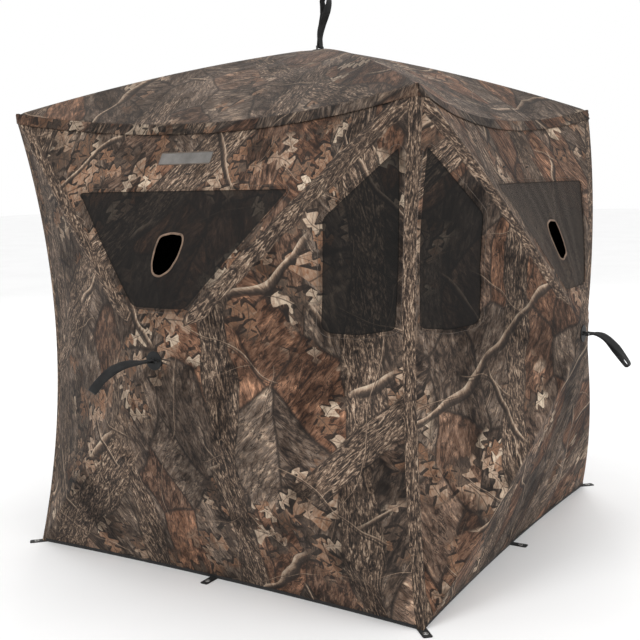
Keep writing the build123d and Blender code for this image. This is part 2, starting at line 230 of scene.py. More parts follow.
def put(socket, value):
    """Link a field or a socket, or set a constant."""
    if isinstance(value, Field):
        value = value.socket
    if isinstance(value, bpy.types.NodeSocket):
        socket.id_data.links.new(value, socket)
    elif isinstance(value, tuple) and len(value) == 3:
        socket.default_value = (*value, 1)
    else:
        socket.default_value = value


def fill(node, **values):
    """Link or set inputs of a node, each _ standing for a space in the name."""
    for name, value in values.items():
        put(node.inputs[name.replace("_", " ")], value)
    return node


class Field:
    """A number that shader nodes work out over a surface; operators add Math nodes."""

    def __init__(self, socket):
        self.socket = socket

    def math(self, operation, *others):
        node = new_node("ShaderNodeMath", self)
        node.operation = operation
        for place, value in zip(node.inputs, (self, *others)):
            put(place, value)
        return Field(node.outputs[0])

    def __add__(self, other): return self.math("ADD", other)
    def __radd__(self, other): return self.math("ADD", other)
    def __sub__(self, other): return self.math("SUBTRACT", other)
    def __rsub__(self, other): return (self * -1).math("ADD", other)
    def __mul__(self, other): return self.math("MULTIPLY", other)
    def __rmul__(self, other): return self.math("MULTIPLY", other)
    def __truediv__(self, other): return self.math("DIVIDE", other)

    def size(self): return self.math("ABSOLUTE")
    def sine(self): return self.math("SINE")
    def cosine(self): return self.math("COSINE")
    def part(self): return self.math("FRACT")
    def whole(self): return self.math("FLOOR")
    def root(self): return self.math("MAXIMUM", 0.0).math("SQRT")

    def step(self, low, high):
        """0 below low, 1 above high, smooth between; falling if low is above high."""
        node = new_node("ShaderNodeMapRange", self)
        node.interpolation_type = "SMOOTHSTEP"
        start, end = (0, 1) if low < high else (1, 0)
        fill(node, Value=self, From_Min=min(low, high), From_Max=max(low, high), To_Min=start, To_Max=end)
        return Field(node.outputs["Result"])


def vector(x, y, z=0.0):
    node = new_node("ShaderNodeCombineXYZ", x, y)
    for socket, value in zip(node.inputs, (x, y, z)):
        put(socket, value)
    return node.outputs[0]


def parts(socket):
    node = new_node("ShaderNodeSeparateXYZ", socket)
    put(node.inputs[0], socket)
    return [Field(out) for out in node.outputs]


def cloud(where, scale=1.0, detail=2.0, rough=0.5, twist=0.0):
    """Noise at a point, which may be given as its coordinates."""
    where = vector(*where) if isinstance(where, tuple) else where
    node = new_node("ShaderNodeTexNoise", where)
    fill(node, Vector=where, Scale=scale, Detail=detail, Roughness=rough, Distortion=twist)
    return Field(node.outputs[0])


def cells(where, feature="F1"):
    """Voronoi cells in two dimensions."""
    node = new_node("ShaderNodeTexVoronoi", where)
    node.voronoi_dimensions, node.feature = "2D", feature
    return fill(node, Vector=where, Scale=1.0)


def ramp(value, stops):
    """A colour ramp; stops are (place, (r, g, b))."""
    node = new_node("ShaderNodeValToRGB", value)
    put(node.inputs[0], value)
    elements = node.color_ramp.elements
    while len(elements) < len(stops):
        elements.new(0.5)
    for element, (place, colour) in zip(elements, stops):
        element.position, element.color = place, (*colour, 1)
    return node.outputs["Color"]


def mix(amount, first, second, mode="MIX"):
    node = new_node("ShaderNodeMix", amount, first, second)
    node.data_type, node.blend_type = "RGBA", mode
    put(node.inputs["Factor"], amount)
    colours = [s for s in node.inputs if s.type == "RGBA"]
    put(colours[0], first)
    put(colours[1], second)
    return [s for s in node.outputs if s.type == "RGBA"][0]


def turned(x, y, angle):
    """Coordinates turned by an angle, which may be a field."""
    if isinstance(angle, Field):
        c, s = angle.cosine(), angle.sine()
    else:
        c, s = cos(angle), sin(angle)
    return x * c + y * s, y * c - x * s


# ---- the printed camouflage
DARK = (0.019, 0.015, 0.013)
UMBER = (0.042, 0.031, 0.025)
BROWN = (0.096, 0.066, 0.048)
GREY = (0.140, 0.108, 0.086)
TAN = (0.285, 0.200, 0.142)
CREAM = (0.540, 0.440, 0.330)
RUST = (0.190, 0.098, 0.056)


LEAF, LEAF_SHADOW = (0.56, 0.40), (0.62, 0.46)  # half length and half width, in cells
LOBES = 8.5


def leaf_layer(x, y, scale, size, seed):
    """Scattered oak leaves: a mask, the shading of their veins, and a random number for each."""
    half_length, half_width = size
    where = vector(x * scale + seed, y * scale + seed)
    node = cells(where)
    cx, cy, _ = parts(node.outputs["Position"])
    px, py, _ = parts(where)
    red, green, blue = parts(node.outputs["Color"])
    lx, ly = turned(px - cx, py - cy, red * 6.283)
    ly = ly + lx * lx * 0.5
    reach = lx / half_length
    body = (1 - reach * reach).root()
    edge = body * (0.62 + 0.38 * (lx * LOBES / half_length + 0.6).cosine()) * half_width
    ragged = cloud(where, 7, 3, 0.6) - 0.5
    inside = (edge + ragged * 0.12 - ly.size()).step(0, 0.03)
    midrib = ly.size().step(0.022, 0.006)
    veins = ((lx - ly.size() * 0.8) * LOBES * 1.6 / half_length).sine().step(0.75, 0.97)
    present = blue.step(0.45, 0.47)
    return inside * present, (midrib + veins * 0.55).math("MINIMUM", 1.0), green


def twig_layer(x, y, angle, spacing, width, seed, bend=0.35):
    """Thin branches in broken lines: a mask and the shading across each."""
    tx, ty = turned(x, y, angle)
    sway = cloud((tx * 1.6 + seed, ty * 1.2), 1.0, 3, 0.55)
    row = ty / spacing + sway * (bend / spacing)
    offset = (row.part() - 0.5) * spacing
    broken = cloud((tx * 3.0, row.whole() * 5.17 + seed), 1.0, 1)
    thick = cloud((tx * 9 + seed, ty * 4), 1.0, 2) * width * 2
    inside = (thick - offset.size()).step(0, 0.0012) * broken.step(0.53, 0.58)
    shade = (offset / (thick + 0.001)).step(-1, 1)
    shadow = (thick - (offset + 0.006).size()).step(0, 0.003) * broken.step(0.53, 0.58)
    return inside, shade, shadow


def bark_colours(along, across):
    """Furrowed bark: pale flakes between dark cracks, long in the first direction."""
    furrow = cloud((along * 17, across * 76), 1.0, 5, 0.66, 2.6)
    flake = cloud((along * 90, across * 210), 1.0, 3, 0.6, 0.6)
    return ramp(furrow * 0.78 + flake * 0.34 - 0.06,
                [(0.40, DARK), (0.46, UMBER), (0.525, BROWN), (0.59, TAN), (0.72, CREAM)])


def camo_group():
    """Node group: printed bark, trunks, oak leaves and twigs from cloth coordinates in metres."""
    tree = bpy.data.node_groups.new("bark_and_leaf_print", "ShaderNodeTree")
    tree.interface.new_socket("Cloth", in_out="INPUT", socket_type="NodeSocketVector")
    tree.interface.new_socket("Color", in_out="OUTPUT", socket_type="NodeSocketColor")
    source, result = tree.nodes.new("NodeGroupInput"), tree.nodes.new("NodeGroupOutput")
    x, y, _ = parts(source.outputs[0])
    flat = vector(x, y)
    drift_x = cloud(flat, 3.1, 2) - 0.5
    drift_y = cloud((y + 9.1, x), 2.7, 2) - 0.5
    wx, wy = x + drift_x * 0.12, y + drift_y * 0.12

    # patches of bark, each with its own grain direction and tone
    patches = cells(vector(wx * 7.5, wy * 4.2))
    red, green, blue = parts(patches.outputs["Color"])
    border = cells(vector(wx * 7.5, wy * 4.2), feature="DISTANCE_TO_EDGE")
    gx, gy = turned(x, y, (red - 0.5) * 2.0)
    grain = cloud((gx * 52, gy * 17), 1.0, 5, 0.62, 1.5)
    fine = cloud((gx * 170, gy * 60), 1.0, 3, 0.65, 0.8)
    flakes = cloud((gx * 24 + 3, gy * 10), 1.0, 3, 0.6, 1.6)
    crack = (cloud((gx * 40, gy * 9 + 4), 1.0, 4, 0.6, 1.6) - 0.5).size()
    tone = grain * 0.62 + fine * 0.26 + flakes * 0.46 - 0.145 + (green - 0.5) * 0.12
    bark = ramp(tone, [(0.36, DARK), (0.45, UMBER), (0.52, BROWN), (0.60, GREY), (0.68, TAN), (0.79, CREAM)])
    warm = blue.step(0.45, 0.9) * 0.75
    bark = mix(warm, bark, (1.30, 0.84, 0.62), "MULTIPLY")
    bark = mix(crack.step(0.030, 0.004) * 0.85, bark, DARK)
    edge = Field(border.outputs["Distance"])
    bark = mix(edge.step(0.045, 0.004) * 0.8, bark, DARK)

    # leaves in drifts, tan and rust
    drift = cloud((x + 4.4, y * 1.25), 2.6, 2)
    for scale, seed, low in ((8.0, 3.7, 0.52), (12.0, 11.3, 0.50), (17.0, 23.9, 0.49)):
        mask, veins, tint = leaf_layer(wx, wy, scale, LEAF, seed)
        shade_mask, _, _ = leaf_layer(wx + 0.05 / scale, wy - 0.07 / scale, scale, LEAF_SHADOW, seed)
        group = drift.step(low, low + 0.05)
        bark = mix(shade_mask * group * 0.85, bark, DARK)
        leaf = ramp(tint * 0.55 + grain * 0.5 + (fine - 0.5) * 0.4,
                    [(0.22, UMBER), (0.36, BROWN), (0.50, RUST), (0.66, TAN), (0.90, CREAM)])
        leaf = mix(veins * 0.75, leaf, UMBER)
        bark = mix(mask * group, bark, leaf)

    # upright trunks and leaning logs
    for angle, spacing, low, seed in ((0.0, 0.37, 0.42, 0.0), (radians(-47), 0.46, 0.50, 5.3)):
        tx, ty = turned(x, y, angle) if angle else (x, y)
        lane = (tx + drift_y * 0.16) / spacing + seed
        chance = cloud((lane.whole() * 3.3 + seed, ty * 0.6), 1.0, 0)
        wide = 0.08 + cloud((lane.whole() * 7.1, ty * 5), 1.0, 2) * 0.09
        within = wide - (lane.part() - 0.5).size()
        trunk = within.step(0, 0.012) * chance.step(low, low + 0.04)
        trunk_colour = mix(within.step(0.03, 0.0) * 0.85, bark_colours(ty, tx + ty * 0.1), DARK)
        bark = mix(trunk, bark, trunk_colour)

    # deep shadows between things
    gloom = cloud((wx * 1.2, wy), 5.6, 4, 0.6)
    bark = mix(gloom.step(0.52, 0.62) * 0.9, bark, (0.40, 0.38, 0.37), "MULTIPLY")

    # branches and twigs, pale side up
    for angle, spacing, width, seed, strength in (
            (radians(38), 0.33, 0.0100, 2.2, 0.9), (radians(-33), 0.22, 0.0026, 8.8, 0.85),
            (radians(12), 0.20, 0.0018, 15.1, 0.8), (radians(72), 0.24, 0.0022, 31.7, 0.8),
            (radians(-62), 0.36, 0.0060, 44.0, 0.85)):
        mask, shade, shadow = twig_layer(x, y, angle, spacing, width, seed)
        bark = mix(shadow * 0.85, bark, DARK)
        wood = ramp(shade * 0.45 + grain * 0.45 + fine * 0.3,
                    [(0.30, DARK), (0.47, UMBER), (0.60, BROWN), (0.72, TAN), (0.90, CREAM)])
        bark = mix(mask * strength, bark, wood)

    # uneven ink, lighter and darker by the hand
    light = cloud((x + 2.7, y), 3.4, 3, 0.6).step(0.30, 0.70) * 0.75 + 0.55
    bark = mix(1.0, bark, vector(light, light, light), "MULTIPLY")
    put(result.inputs[0], bark)
    return tree


camo = camo_group()
DIRT = 0.6  # roughness of the noise behind dust and wear
WEAVE, MESH_WEAVE, LINING_WEAVE = 0.0022, 0.0024, 0.0016  # pitch of the threads
RIB_ACROSS, RIB_ALONG = 0.0024, 0.0030  # pitch of the webbing's ribs


def material(name, layer=None):
    """A new material, its shader, and the chosen map's coordinates in metres."""
    made = bpy.data.materials.new(name)
    made.use_nodes = True
    nodes = made.node_tree.nodes
    shader = nodes["Principled BSDF"]
    if layer:
        return made, shader, uv_map(shader, layer)
    return made, shader, nodes.new("ShaderNodeTexCoord").outputs["Object"]


def uv_map(shader, layer):
    source = shader.id_data.nodes.new("ShaderNodeUVMap")
    source.uv_map = layer
    return source.outputs["UV"]


def bump(shader, height, distance, strength=1.0):
    node = new_node("ShaderNodeBump", height)
    fill(node, Strength=strength, Distance=distance, Height=height)
    put(shader.inputs["Normal"], node.outputs["Normal"])


def weave(where, pitch):
    """Plain weave: crossed threads with the given pitch in metres."""
    x, y, _ = parts(where)
    k = 2 * pi / pitch
    return (x * k).sine() * (y * k).sine()


def printed(where):
    """The camouflage print at a point of the cloth."""
    group = new_node("ShaderNodeGroup", where)
    group.node_tree = camo
    put(group.inputs[0], where)
    return group.outputs[0]


def worn(amount, colour, gain, low=0.3, high=0.8):
    """A colour that turns into gain times itself where amount is high."""
    return ramp(amount, [(low, colour), (high, tuple(c * gain for c in colour))])


def camo_cloth(name, turn=0.0, gain=1.0, sheen_grey=0.0, ridge_highlight=False):
    """Printed polyester; the roof's print is turned and greyed, a painted sheen; gain below one darkens the
    print as painted shade; walls get a pale bark band with dark edges painted along their pole ridges, a
    painted highlight.
    """
    made, shader, where = material(name, "cloth")
    x, y, _ = parts(where)
    px, py = turned(x, y, turn) if turn else (x, y)
    colour = printed(vector(px, py))
    if sheen_grey:
        # painted sheen: the roof's print is mixed towards a light grey
        colour = mix(sheen_grey, colour, (0.150, 0.125, 0.108))
    dust = cloud(where, 5.0, 4, DIRT).step(0.35, 0.75)
    colour = mix(dust * 0.03, colour, (0.26, 0.21, 0.17))
    if gain != 1.0:
        # painted shade: gain darkens the whole print
        colour = mix(1.0, colour, (gain, gain, gain), "MULTIPLY")
    if ridge_highlight:
        # painted highlight: a pale bark band with dark edges along each pole ridge, where the cloth bends
        # over the pole
        along, beside, _ = parts(uv_map(shader, "strip"))
        within = cloud(where, 14, 3) * RIDGE_HIGHLIGHT_RAGGED + (RIDGE_HIGHLIGHT_HALF - RIDGE_HIGHLIGHT_RAGGED / 2) - beside
        ridge_highlight_colour = mix(within.step(0.007, 0.0) * 0.8, bark_colours(along, beside + x * 0.2), DARK)
        colour = mix(within.step(0, 0.003) * 0.92, colour, ridge_highlight_colour)
    rough = cloud(where, 60, 3) * 0.16 + 0.74
    fill(shader, Base_Color=colour, Roughness=rough, Specular_IOR_Level=0.12, Sheen_Weight=0.02)
    crease = cloud(where, 22, 4, DIRT) * 0.6
    bump(shader, weave(where, WEAVE) * 0.25 + crease, 0.0012, 0.55)
    return made


def bark_cloth(name):
    """Cloth cut from a trunk of the print, for the corner seams."""
    made, shader, where = material(name, "strip")
    along, across, _ = parts(where)
    fill(shader, Base_Color=bark_colours(along, across), Roughness=0.8, Specular_IOR_Level=0.12)
    bump(shader, weave(where, WEAVE), 0.0003, 0.5)
    return made


def plain_cloth(name, colour=(0.012, 0.012, 0.012)):
    """Coated or woven cloth of one colour with a little dust."""
    made, shader, where = material(name, "cloth")
    dust = cloud(where, 18, 4, DIRT)
    fill(shader, Base_Color=worn(dust, colour, 2.2), Roughness=dust * 0.2 + 0.7, Specular_IOR_Level=0.3)
    bump(shader, weave(where, LINING_WEAVE), 0.0004, 0.6)
    return made


def window_cloth(name):
    """Black shoot-through mesh with a faint print of the same bark."""
    made, shader, where = material(name, "cloth")
    faint = mix(0.10, (0.008, 0.0075, 0.007), printed(where))
    # painted shade: the holes between the threads are darker, as the dark inside shows through them
    holes = weave(where, MESH_WEAVE).step(-0.5, 0.6)
    fill(shader, Base_Color=mix(holes * 0.35, faint, (0.006, 0.006, 0.006)), Roughness=0.85,
         Specular_IOR_Level=0.15, Sheen_Weight=0.22, Sheen_Roughness=0.3, Sheen_Tint=(0.80, 0.62, 0.50))
    bump(shader, weave(where, MESH_WEAVE), 0.0005, 0.5)
    return made


def webbing(name, colour=(0.010, 0.010, 0.010)):
    """Ribbed webbing; strip coordinates run along and across it."""
    made, shader, where = material(name, "strip")
    along, across, _ = parts(where)
    ribs = (across * (2 * pi / RIB_ACROSS)).sine() * 0.5 + (along * (2 * pi / RIB_ALONG)).sine() * 0.6
    dust = cloud(where, 40, 3)
    fill(shader, Base_Color=worn(dust, colour, 2.5), Roughness=dust * 0.2 + 0.6, Specular_IOR_Level=0.2,
         Sheen_Weight=0.04)
    bump(shader, ribs, 0.0004, 0.8)
    return made


def moulded(name, colour, rough=0.42, grain=0.0003):
    """Moulded nylon with a fine grain and worn, paler patches."""
    made, shader, where = material(name)
    wear = cloud(where, 30, 4, DIRT)
    paler = tuple(c * 2.4 + 0.004 for c in colour)
    base = ramp(wear, [(0.35, colour), (0.75, paler)])
    fill(shader, Base_Color=base, Roughness=wear * 0.25 + (rough - 0.1), Specular_IOR_Level=0.3)
    bump(shader, cloud(where, 900, 2), grain, 0.5)
    return made


def metal(name, colour=(0.46, 0.45, 0.43)):
    """Zinc-plated steel with soft blotches."""
    made, shader, where = material(name)
    blotch = cloud(where, 120, 4, DIRT)
    base = ramp(blotch, [(0.3, tuple(c * 0.6 for c in colour)), (0.7, colour)])
    fill(shader, Base_Color=base, Metallic=1.0, Roughness=blotch * 0.3 + 0.22)
    bump(shader, cloud(where, 700, 2), 0.0001, 0.4)
    return made


def fibreglass(name):
    """Dark pultruded rod: long fine fibres and a slight gloss."""
    made, shader, where = material(name)
    fibre = cloud(where, 260, 4, DIRT, 1.5)
    base = ramp(fibre, [(0.35, (0.012, 0.012, 0.012)), (0.75, (0.050, 0.048, 0.044))])
    fill(shader, Base_Color=base, Roughness=fibre * 0.25 + 0.22, Coat_Weight=0.35)
    bump(shader, fibre, 0.0002, 0.4)
    return made


def floor_material(name):
    made, shader, where = material(name)
    tone = cloud(where, 1.5, 3)
    base = ramp(tone, [(0.3, (0.93, 0.93, 0.93)), (0.7, (0.96, 0.96, 0.96))])
    fill(shader, Base_Color=base, Roughness=0.9)
    return made


# the wall cloth carries the painted highlight along its pole ridges
CAMO = camo_cloth("camo_wall", ridge_highlight=True)
CAMO_PLAIN = camo_cloth("camo_door")
# the roof's print is greyed: painted sheen
CAMO_ROOF = camo_cloth("camo_roof", turn=radians(52), sheen_grey=0.16)
# a darker copy of the print, painted shade, for the eave flaps and the edges of the window openings
CAMO_BAND_PAINTED_SHADE = camo_cloth("camo_band", gain=0.72)
CAMO_SEAM = bark_cloth("camo_seam")
BLACK_TAPE = plain_cloth("zip_tape_cloth")
LINING = plain_cloth("black_coating")
WINDOW_MESH = window_cloth("window_mesh")
WEBBING = webbing("black_webbing")
BINDING = webbing("tan_binding", (0.110, 0.074, 0.052))
THREAD = moulded("thread", (0.070, 0.056, 0.046), 0.8, 0.0001)
PATCH = plain_cloth("grey_patch", (0.100, 0.094, 0.088))
NYLON = moulded("black_nylon", (0.006, 0.006, 0.006), 0.55)
STEEL = metal("zinc_steel")
ZIP_METAL = moulded("black_enamel", (0.010, 0.010, 0.010), 0.3, 0.0001)
ROD = fibreglass("fibreglass_rod")


# ---- mesh helpers
def add_object(name, points, faces, maps, materials, smooth=True):
    """A mesh object with its UV maps, given for each vertex."""
    mesh = bpy.data.meshes.new(name)
    mesh.from_pydata([tuple(p) for p in points], [], [tuple(int(i) for i in f) for f in faces])
    corners = np.zeros(len(mesh.loops), int)
    mesh.loops.foreach_get("vertex_index", corners)
    for layer, values in maps.items():
        uv = np.asarray(values, float)[corners].ravel()
        mesh.uv_layers.new(name=layer).data.foreach_set("uv", uv)
    if smooth:
        mesh.shade_smooth()
    for item in materials:
        mesh.materials.append(item)
    return placed(name, mesh)


def thicken(obj, thickness, offset=-1.0, lined=False):
    """Give a sheet its thickness; a lined one gets its second material inside."""
    solid = obj.modifiers.new("thickness", "SOLIDIFY")
    solid.thickness, solid.offset = thickness, offset
    solid.use_even_offset = False
    if lined:
        solid.material_offset = 1


def follow(obj, face, x, y, each=1):
    """Bake the transform of cloth on a face into its mesh, and work out how far each group of points, placed
    by x and y, lies on the way from the hub to the corners; that share is not used.
    """
    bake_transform(obj)
    share = np.repeat(face.share(x, y), each)


def inside(points, outline):
    """Which points lie within a polygon."""
    outline = np.asarray(outline, float)
    x, y = points[:, 0], points[:, 1]
    result = np.zeros(len(points), bool)
    for (x0, y0), (x1, y1) in zip(outline, np.roll(outline, -1, axis=0)):
        if y0 == y1:
            continue
        crossed = (y0 > y) != (y1 > y)
        result ^= crossed & (x < x0 + (y - y0) * (x1 - x0) / (y1 - y0))
    return result


def distance_to(points, outline):
    """Distance of points from a closed line."""
    outline = np.asarray(outline, float)
    best = np.full(len(points), 1e9)
    for a, b in zip(outline, np.roll(outline, -1, axis=0)):
        d = b - a
        t = np.clip(((points - a) @ d) / max(d @ d, 1e-12), 0, 1)
        best = np.minimum(best, np.linalg.norm(points - (a + t[:, None] * d), axis=1))
    return best


def rounded(points, radius, steps=6):
    """A polygon with each corner rounded by an arc-like curve."""
    result = []
    count = len(points)
    for i, point in enumerate(points):
        corner = Vector(point)
        before, after = Vector(points[i - 1]) - corner, Vector(points[(i + 1) % count]) - corner
        cut = min(radius, before.length * 0.45, after.length * 0.45)
        start, end = corner + before.normalized() * cut, corner + after.normalized() * cut
        for k in range(steps + 1):
            t = k / steps
            result.append(tuple(start * (1 - t) ** 2 + corner * 2 * t * (1 - t) + end * t ** 2))
    return result


def evenly(points, step, closed=True):
    """The same line with points added so that none are further apart than step."""
    result = []
    ends = points[1:] + points[:1] if closed else points[1:]
    for a, b in zip(points, ends):
        a, b = np.array(a, float), np.array(b, float)
        parts_here = max(1, int(np.ceil(np.linalg.norm(b - a) / step)))
        result += [tuple(a + (b - a) * k / parts_here) for k in range(parts_here)]
    if not closed:
        result.append(tuple(points[-1]))
    return result


def directions(steps):
    """Unit directions along a line's steps, and square to them, to the left."""
    along = steps / np.linalg.norm(steps, axis=1)[:, None]
    return along, np.column_stack([-along[:, 1], along[:, 0]])


def round_line(p):
    """The step at each point of a closed line, from its neighbours."""
    return np.roll(p, -1, axis=0) - np.roll(p, 1, axis=0)


def grown(outline, by):
    """A counter-clockwise outline moved outwards."""
    p = np.asarray(outline, float)
    return [tuple(q) for q in p - directions(round_line(p))[1] * by]


def clear(points, outline, holes, margin=0.0):
    """Which points lie inside outline and outside holes, more than margin away from them."""
    keep = inside(points, outline)
    for hole in holes:
        keep &= ~inside(points, hole)
    if margin:
        for line in (outline, *holes):
            keep &= distance_to(points, line) > margin
    return keep


def triangles(outline, holes, grid, folds=()):
    """Triangles between outline and holes, through the points of grid and along folds."""
    points, edges = [], []
    for line in (outline, *holes, *folds):
        start, count = len(points), len(line)
        points += list(line)
        edges += [(start + i, start + i + 1) for i in range(count - 1)]
        if not any(line is fold for fold in folds):
            edges.append((start + count - 1, start))
    points += [tuple(p) for p in grid]
    made = geometry.delaunay_2d_cdt([Vector(p) for p in points], edges, [], 0, 1e-7)
    flat = np.array([tuple(v) for v in made[0]])
    faces = np.array([f for f in made[2] if len(f) == 3])
    return flat, faces[clear(flat[faces].mean(axis=1), outline, holes)]


def grid_faces(rows, width, closed=False, tube=False, start=0):
    """Quads between neighbouring points of rows of width points."""
    return [tuple(start + a * width + b for a, b in ((i, k), (j, k), (j, m), (i, m)))
            for i in range(rows if closed else rows - 1) for k in range(width if tube else width - 1)
            for j, m in [((i + 1) % rows, (k + 1) % width)]]


def blocks(name, corners, item):
    """Many small blocks in one mesh; corners holds each corner of all blocks, the four low ones first."""
    points = np.stack(corners, axis=1).reshape(-1, 3)
    quads = np.array([(4, 5, 6, 7), (0, 1, 5, 4), (1, 2, 6, 5), (2, 3, 7, 6), (3, 0, 4, 7)])
    faces = (quads[None] + 8 * np.arange(len(corners[0]))[:, None, None]).reshape(-1, 4)
    return add_object(name, points, faces, {}, [item])


def panel(name, face, outline, holes, lift, materials, step=GRID, ridges=False):
    """A piece of cloth on a face: a fine triangle mesh inside outline, with holes."""
    outline, *holes = [evenly(line, step) for line in (outline, *holes)]
    low, high = np.min(outline, axis=0), np.max(outline, axis=0)
    gx, gy = np.meshgrid(np.arange(low[0], high[0], step), np.arange(low[1], high[1], step))
    gx = gx + (np.arange(len(gx)) % 2)[:, None] * step / 2
    grid = np.column_stack([gx.ravel(), gy.ravel()])
    keep = clear(grid, outline, holes, step * 0.55)
    folds = []
    if ridges:
        keep &= np.abs(np.abs(grid[:, 0]) - np.abs(grid[:, 1])) > step * 0.6
        reach = np.arange(0.02, HALF * 0.985, step)
        folds = [[(sx * d, sy * d) for d in reach] for sx in (-1, 1) for sy in (-1, 1)]
    flat, faces = triangles(outline, holes, grid[keep], folds)
    used, faces = np.unique(faces, return_inverse=True)
    faces, flat = faces.reshape(-1, 3), flat[used]
    a, b, c = (flat[faces[:, i]] for i in range(3))
    turn = (b[:, 0] - a[:, 0]) * (c[:, 1] - a[:, 1]) - (b[:, 1] - a[:, 1]) * (c[:, 0] - a[:, 0])
    faces[turn < 0] = faces[turn < 0][:, ::-1]
    n = face.height(flat[:, 0], flat[:, 1]) + lift
    size = np.abs(flat)
    along = size.sum(axis=1) / sqrt(2)
    beside = np.abs(size[:, 0] - size[:, 1]) / sqrt(2) + np.clip(0.12 - flat[:, 1], 0, 0.1)
    layers = {"cloth": flat + np.array(PRINT_OFFSET[face.name]), "strip": np.column_stack([along, beside])}
    return add_object(name, face.world(flat[:, 0], flat[:, 1], n), faces, layers, materials), flat


def strip(name, rows, materials, closed=False, prints=None):
    """A ribbon from rows of world points: rows[k] holds the points across it at step k."""
    rows = np.asarray(rows, float)
    run, over = (np.concatenate([[0], np.cumsum(np.linalg.norm(np.diff(line, axis=0), axis=1))])
                 for line in (rows.mean(axis=1), rows[0]))
    maps = np.stack(np.meshgrid(run, over, indexing="ij"), axis=-1).reshape(-1, 2)
    layers = {"strip": maps, "cloth": maps if prints is None else prints}
    return add_object(name, rows.reshape(-1, 3), grid_faces(*rows.shape[:2], closed), layers, materials)


def band(name, face, line, width, lift, bulge, materials, closed=True, across=5, body=None):
    """A raised band of cloth along a line on a face; it follows the cloth, or rides on body."""
    line = np.asarray(evenly(line, GRID, closed), float)
    _, side = directions(round_line(line) if closed else np.gradient(line, axis=0))
    s = np.linspace(1, -1, across)
    flat = line[:, None, :] + side[:, None, :] * (s * width / 2)[None, :, None]
    x, y = flat[..., 0].ravel(), flat[..., 1].ravel()
    n = face.height(x, y) + lift + bulge * (1 - np.tile(s, len(line)) ** 2)
    rows = face.world(x, y, n).reshape(len(line), across, 3)
    prints = flat.reshape(-1, 2) + np.array(PRINT_OFFSET[face.name])
    obj = strip(name, rows, materials, closed, prints)
    if body:
        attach(obj, body)
    else:
        follow(obj, face, x, y)
    return obj


def edge_line(face, side, count=81):
    """In-plane points of one edge of a face's cloth, side being right, top, left or low."""
    t = np.linspace(-1, 1, count)
    one = np.ones(count)
    u, v = {"right": (one, t), "top": (-t, one), "left": (-one, -t), "low": (t, -one)}[side]
    return face.plane_point(u, v)


def face_outline(face):
    """The whole cloth's outline on a face, counter-clockwise from outside."""
    result = []
    for side in ("low", "right", "top", "left"):
        x, y = edge_line(face, side)
        result += list(zip(x[:-1], y[:-1]))
    return result


# ---- floor
CORNERS = ((-1, -1), (1, -1), (1, 1), (-1, 1))  # of a square, counter-clockwise
FLOOR_REACH = 30
floor = add_object("floor", [(x * FLOOR_REACH, y * FLOOR_REACH, 0) for x, y in CORNERS], [(0, 1, 2, 3)], {},
                   [floor_material("floor")])

# ---- cloth faces
WINDOW = rounded([(-WINDOW_LOW[0], WINDOW_LOW[1]), WINDOW_LOW, WINDOW_TOP, (-WINDOW_TOP[0], WINDOW_TOP[1])],
                 0.022)
HOLE = [(0.007 * cos(t), 0.007 * sin(t)) for t in np.linspace(0, 2 * pi, 17)[:-1]]  # under the washer
DOOR_LINE = rounded(DOOR, 0.02)
SCREEN_LIFT = -0.002
LAP = 0.010  # mesh lapped behind the edge of its opening
STITCH_PITCH, STITCH_LENGTH, STITCH_LIFT = 0.0042, 0.0030, 0.0012
STITCH_HALF, STITCH_RISE, STITCH_TOP = 0.00045, 0.0006, 0.6  # half width, height, size of the top


def port_outline(grow=0.0):
    """The port's outline on a face, moved outwards."""
    line = rounded([(PORT[0] + x, PORT[1] + y) for x, y in PORT_POINTS], 0.012, 4)
    return grown(evenly(line, 0.004), grow)


def corner_window(side):
    """Outline of the window beside the right (1) or left (-1) seam."""
    points = CORNER_WINDOW if side > 0 else [(-x, y) for x, y in reversed(CORNER_WINDOW)]
    return rounded(points, 0.016)


def stitches(name, face, line, on_door=False):
    """A row of thread stitches along a closed line drawn on a face, in one mesh."""
    places = np.asarray(evenly(evenly(line, 0.2), STITCH_PITCH), float)
    steps = np.diff(places, axis=0)
    middle = places[:-1] + steps / 2
    along, side = directions(steps)
    corners = []
    for size, c in ((1, 0), (STITCH_TOP, 1)):
        for a, b in CORNERS:
            flat = middle + along * (a * size * STITCH_LENGTH / 2) + side * (b * size * STITCH_HALF)
            n = face.height(flat[:, 0], flat[:, 1]) + STITCH_LIFT + c * STITCH_RISE
            corners.append(face.world(flat[:, 0], flat[:, 1], n))
    obj = blocks(name, corners, THREAD)
    if on_door:
        hang(obj)
    else:
        follow(obj, face, *middle.T, len(corners))


def screen(name, face, outline, holes, node):
    """Window mesh behind an opening, with the folded and stitched edge of the opening."""
    lapped = grown(outline, LAP)
    obj, points = panel(f"{name}_screen", face, lapped, holes, SCREEN_LIFT, [WINDOW_MESH])
    follow(obj, face, *points.T)
    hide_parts(node)
    # the edge band of the opening uses the darkened print: painted shade
    edge = band(f"{name}_edge", face, grown(outline, 0.001), 0.006, 0.0002, 0.0012, [CAMO_BAND_PAINTED_SHADE])
    stitches(f"{name}_stitches", face, grown(outline, 0.009))


for name, face in FACES.items():
    holes = [HOLE]
    if face.is_wall:
        holes.append(WINDOW)
    if name in CORNER_WINDOWS:
        holes.append(corner_window(CORNER_WINDOWS[name]))
    if name == "back":
        holes.append(grown(DOOR_LINE, -0.004))
    outline = face_outline(face)
    obj, flat = panel(f"{name}_cloth", face, outline, holes, 0,
                      [CAMO if face.is_wall else CAMO_ROOF, LINING], ridges=True)
    follow(obj, face, *flat.T)
    thicken(obj, CLOTH_T, lined=True)
    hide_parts(f"{name}_wall" if face.is_wall else "roof_panel")

